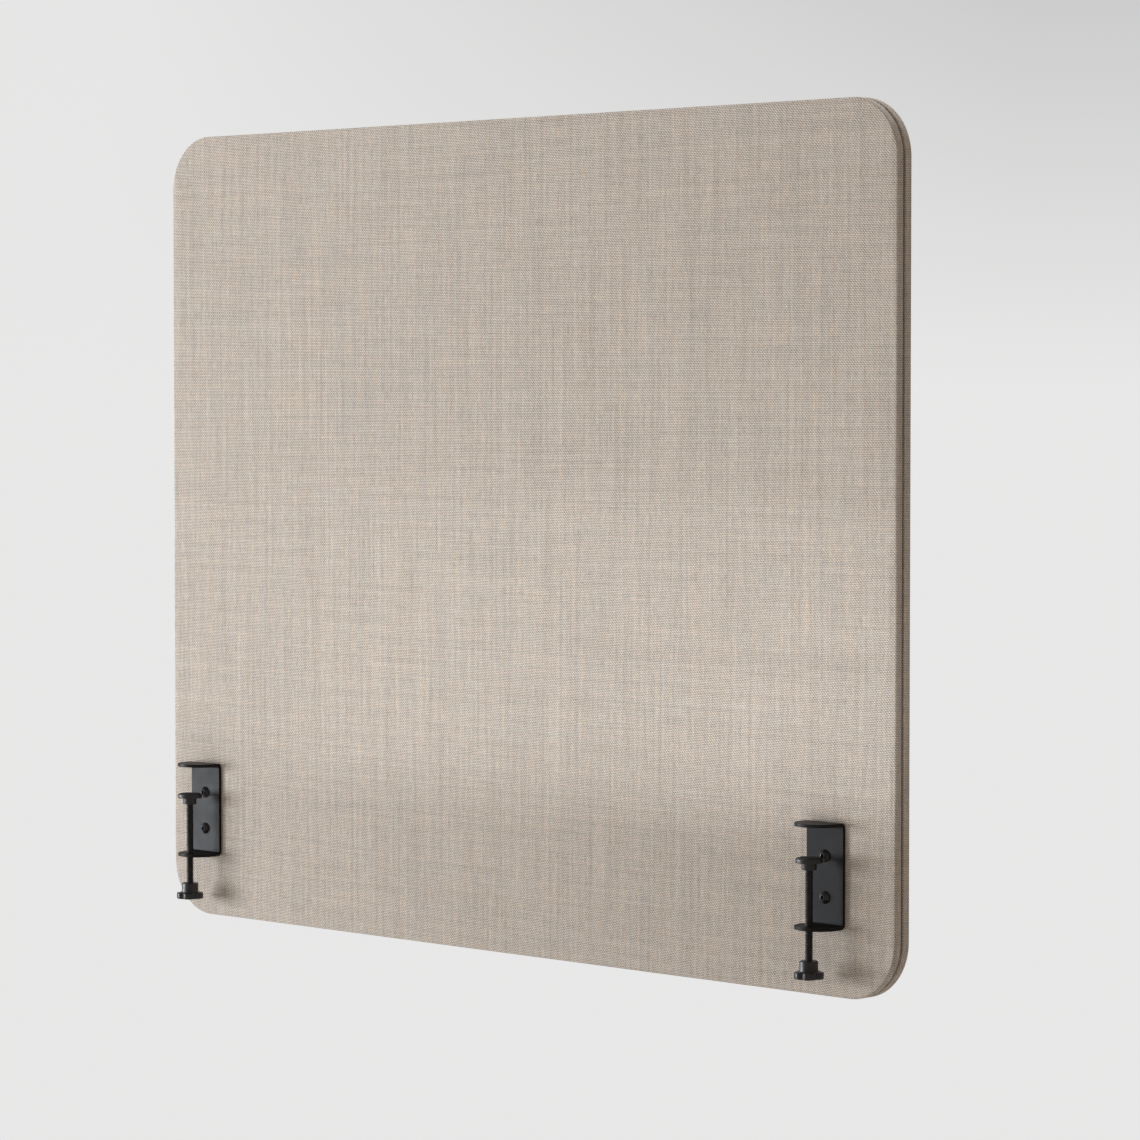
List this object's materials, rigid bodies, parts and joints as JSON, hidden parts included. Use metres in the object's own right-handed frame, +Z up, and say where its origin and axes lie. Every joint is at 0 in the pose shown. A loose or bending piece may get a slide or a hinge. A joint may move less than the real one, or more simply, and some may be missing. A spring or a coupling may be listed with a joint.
{
  "type": "desk privacy panel",
  "caption": "Upholstered privacy panel with rounded corners and an edge seam, clamped upright to the end of a desk top by screw clamps.",
  "frame": {"origin": "in the plane of the desk top's upper face, on which the tongues rest, at the desk's end edge, midway along the board's width", "axes": "+X along the board's width to the right as seen from the desk, +Y away from the desk, +Z up"},
  "size_m": [0.8, 0.0465, 0.65],
  "materials": {
    "melange_fabric": "flat woven wool-look melange, tan and blue-grey yarns, matt",
    "spline_strip": "dark extruded strip",
    "wadding_felt": "needled polyester felt",
    "core_board": "sanded fibreboard",
    "acoustic_felt": "dense recycled polyester board",
    "zinc_insert": "zinc plated",
    "black_steel": "fine satin powder coat",
    "black_screw": "black zinc",
    "black_plastic": "satin moulded",
    "black_rubber": "fine matt"
  },
  "bodies": {
    "board": {"core_frame": "core_board", "acoustic_infill": "acoustic_felt", "front_wadding": "wadding_felt", "rear_wadding": "wadding_felt", "front_cover": "melange_fabric", "rear_cover": "melange_fabric", "edge_spline": "spline_strip", "left_upper_insert": "zinc_insert", "left_lower_insert": "zinc_insert", "right_upper_insert": "zinc_insert", "right_lower_insert": "zinc_insert", "left_upper_screw": "black_screw", "left_lower_screw": "black_screw", "right_upper_screw": "black_screw", "right_lower_screw": "black_screw", "left_bracket": "black_steel", "right_bracket": "black_steel"},
    "left_foot": {"left_press_foot": "black_plastic", "left_foot_pad": "black_rubber"},
    "left_spindle": {"left_clamp_screw": "black_screw", "left_knob": "black_plastic"},
    "right_foot": {"right_press_foot": "black_plastic", "right_foot_pad": "black_rubber"},
    "right_spindle": {"right_clamp_screw": "black_screw", "right_knob": "black_plastic"}
  },
  "joints": [
    {"name": "left_travel", "type": "slide", "parent": "board", "child": "left_foot", "axis": [0, 0, 1], "range_m": [-0.0405, 0.0215]},
    {"name": "left_turn", "type": "hinge", "parent": "left_foot", "child": "left_spindle", "pos_m": [-0.357, -0.017, -0.0223], "axis": [0, 0, 1], "range_deg": [-14581, 7741]},
    {"name": "right_travel", "type": "slide", "parent": "board", "child": "right_foot", "axis": [0, 0, 1], "range_m": [-0.0405, 0.0215]},
    {"name": "right_turn", "type": "hinge", "parent": "right_foot", "child": "right_spindle", "pos_m": [0.335, -0.017, -0.0223], "axis": [0, 0, 1], "range_deg": [-14581, 7741]}
  ],
  "couplings": [
    {"joint": "left_turn", "follows": "left_travel", "rad_per_m": 6283.2},
    {"joint": "right_turn", "follows": "right_travel", "rad_per_m": 6283.2}
  ]
}
